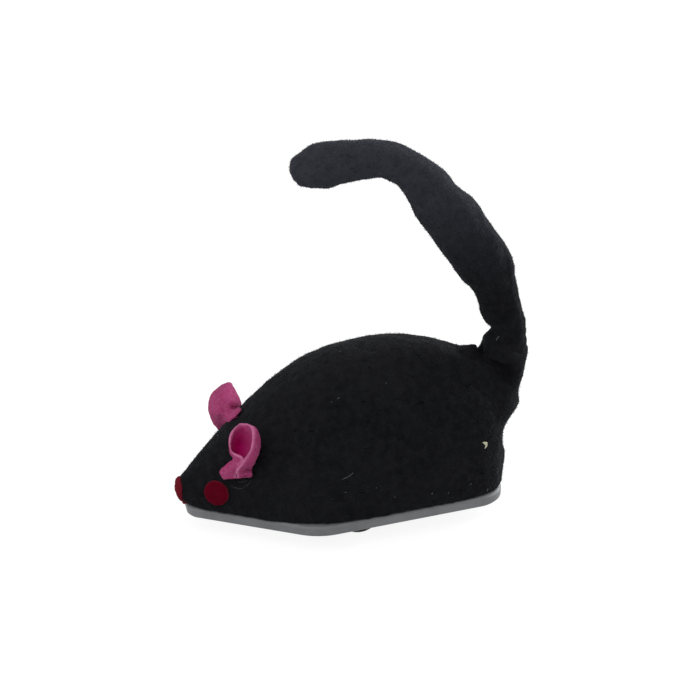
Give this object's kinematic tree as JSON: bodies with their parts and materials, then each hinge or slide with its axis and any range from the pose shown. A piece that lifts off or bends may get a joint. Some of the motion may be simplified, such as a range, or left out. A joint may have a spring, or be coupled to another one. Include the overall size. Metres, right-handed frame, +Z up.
{
  "type": "pull-back toy mouse",
  "caption": "Toy mouse for a cat: a terry-covered body with felt ears and a hooked stuffed tail, on a plastic plate with a pull-back clockwork motor, drive wheels and a rear roller.",
  "frame": {"origin": "centre of the bounding box at floor level, where the tyres and the roller touch the floor", "axes": "+X from the nose to the rump, +Y to the mouse's right, +Z up"},
  "size_m": [0.0896, 0.0428, 0.0965],
  "materials": {
    "terry_cloth": "matt, short looped pile",
    "fibre_fill": "loose white fibre",
    "white_plastic": "moulded, satin",
    "grey_plastic": "moulded, matt",
    "nylon": "moulded, satin",
    "pink_felt": "fuzzy needle felt",
    "red_felt": "fuzzy needle felt",
    "rubber": "matt",
    "spring_steel": "blued, smooth",
    "steel": "bright, zinc plated"
  },
  "bodies": {
    "chassis": {"base_plate": "white_plastic", "body_dome": "grey_plastic", "body_cover": "terry_cloth", "ear_left": "pink_felt", "ear_right": "pink_felt", "eye_left": "red_felt", "eye_right": "red_felt", "nose": "red_felt", "motor_case": "grey_plastic", "motor_cover": "grey_plastic", "mainspring": "spring_steel", "roller_pin": "steel", "case_screw_front": "steel", "case_screw_rear": "steel", "case_screw_low": "steel", "motor_screw_front": "steel", "motor_screw_rear": "steel", "body_screw_front": "steel", "body_screw_left": "steel", "body_screw_right": "steel"},
    "drive_axle": {"drive_shaft": "steel", "axle_pinion": "nylon", "hub_left": "white_plastic", "hub_right": "white_plastic", "tyre_left": "rubber", "tyre_right": "rubber"},
    "cluster_gear": {"drive_cluster": "nylon"},
    "wound_gear": {"spring_gear": "nylon"},
    "idler_gear": {"winding_idler": "nylon"},
    "rear_roller": {"roller": "white_plastic"},
    "tail": {"tail_cover": "terry_cloth", "tail_stuffing": "fibre_fill"}
  },
  "joints": [
    {"name": "drive_axle_spin", "type": "hinge", "parent": "chassis", "child": "drive_axle", "pos_m": [-0.00107, 0, 0.0055], "axis": [0, 1, 0], "continuous": true},
    {"name": "drive_cluster_spin", "type": "hinge", "parent": "chassis", "child": "cluster_gear", "pos_m": [0.00044, 0, 0.01295], "axis": [0, 1, 0], "continuous": true},
    {"name": "spring_gear_spin", "type": "hinge", "parent": "chassis", "child": "wound_gear", "pos_m": [0.00943, 0, 0.0125], "axis": [0, 1, 0], "continuous": true, "deforming": ["mainspring"]},
    {"name": "winding_idler_spin", "type": "hinge", "parent": "chassis", "child": "idler_gear", "pos_m": [0.00412, 0, 0.00499], "axis": [0, 1, 0], "continuous": true},
    {"name": "roller_spin", "type": "hinge", "parent": "chassis", "child": "rear_roller", "pos_m": [0.03042, 0, 0.0032], "axis": [0, 1, 0], "continuous": true},
    {"name": "tail_flex", "type": "hinge", "parent": "chassis", "child": "tail", "pos_m": [0.03941, 0, 0.0425], "axis": [0, 1, 0], "range_deg": [-20, 20], "stiffness_Nm_per_rad": 0.03}
  ],
  "couplings": [
    {"joint": "drive_cluster_spin", "follows": "drive_axle_spin", "ratio": -0.35714},
    {"joint": "spring_gear_spin", "follows": "drive_axle_spin", "ratio": 0.089286},
    {"joint": "winding_idler_spin", "follows": "drive_axle_spin", "ratio": -0.32143}
  ]
}
